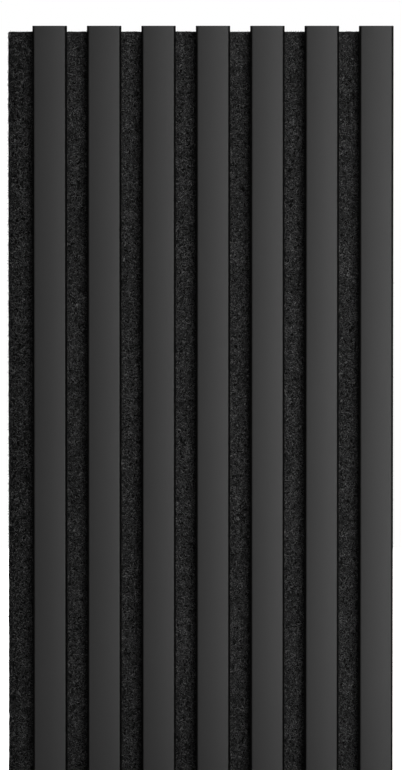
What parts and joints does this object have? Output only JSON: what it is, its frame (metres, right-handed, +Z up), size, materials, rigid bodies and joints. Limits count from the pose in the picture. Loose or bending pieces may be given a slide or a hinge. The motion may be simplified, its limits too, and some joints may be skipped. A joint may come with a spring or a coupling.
{
  "type": "acoustic panel",
  "caption": "Slatted acoustic wall panel: dark upright slats with bevelled edges and crowned faces, stapled to a stiff felt board that absorbs sound.",
  "frame": {"origin": "centre of the felt board's back face, which lies on the wall", "axes": "+Z up along the slats, +Y out of the back face into the wall, the slats' fronts face -Y, +X to the right as seen from the front"},
  "size_m": [0.3, 0.021, 0.6],
  "materials": {
    "felt": "pressed polyester felt, dark grey melange",
    "fibreboard": "black fibreboard, sawn",
    "decor": "satin anthracite decorative layer",
    "staple_wire": "galvanised"
  },
  "bodies": {
    "root": {"felt_backing": "felt", "slat_core_1": "fibreboard", "slat_core_2": "fibreboard", "slat_core_3": "fibreboard", "slat_core_4": "fibreboard", "slat_core_5": "fibreboard", "slat_core_6": "fibreboard", "slat_core_7": "fibreboard", "slat_face_1": "decor", "slat_face_2": "decor", "slat_face_3": "decor", "slat_face_4": "decor", "slat_face_5": "decor", "slat_face_6": "decor", "slat_face_7": "decor", "staples": "staple_wire"}
  },
  "joints": []
}
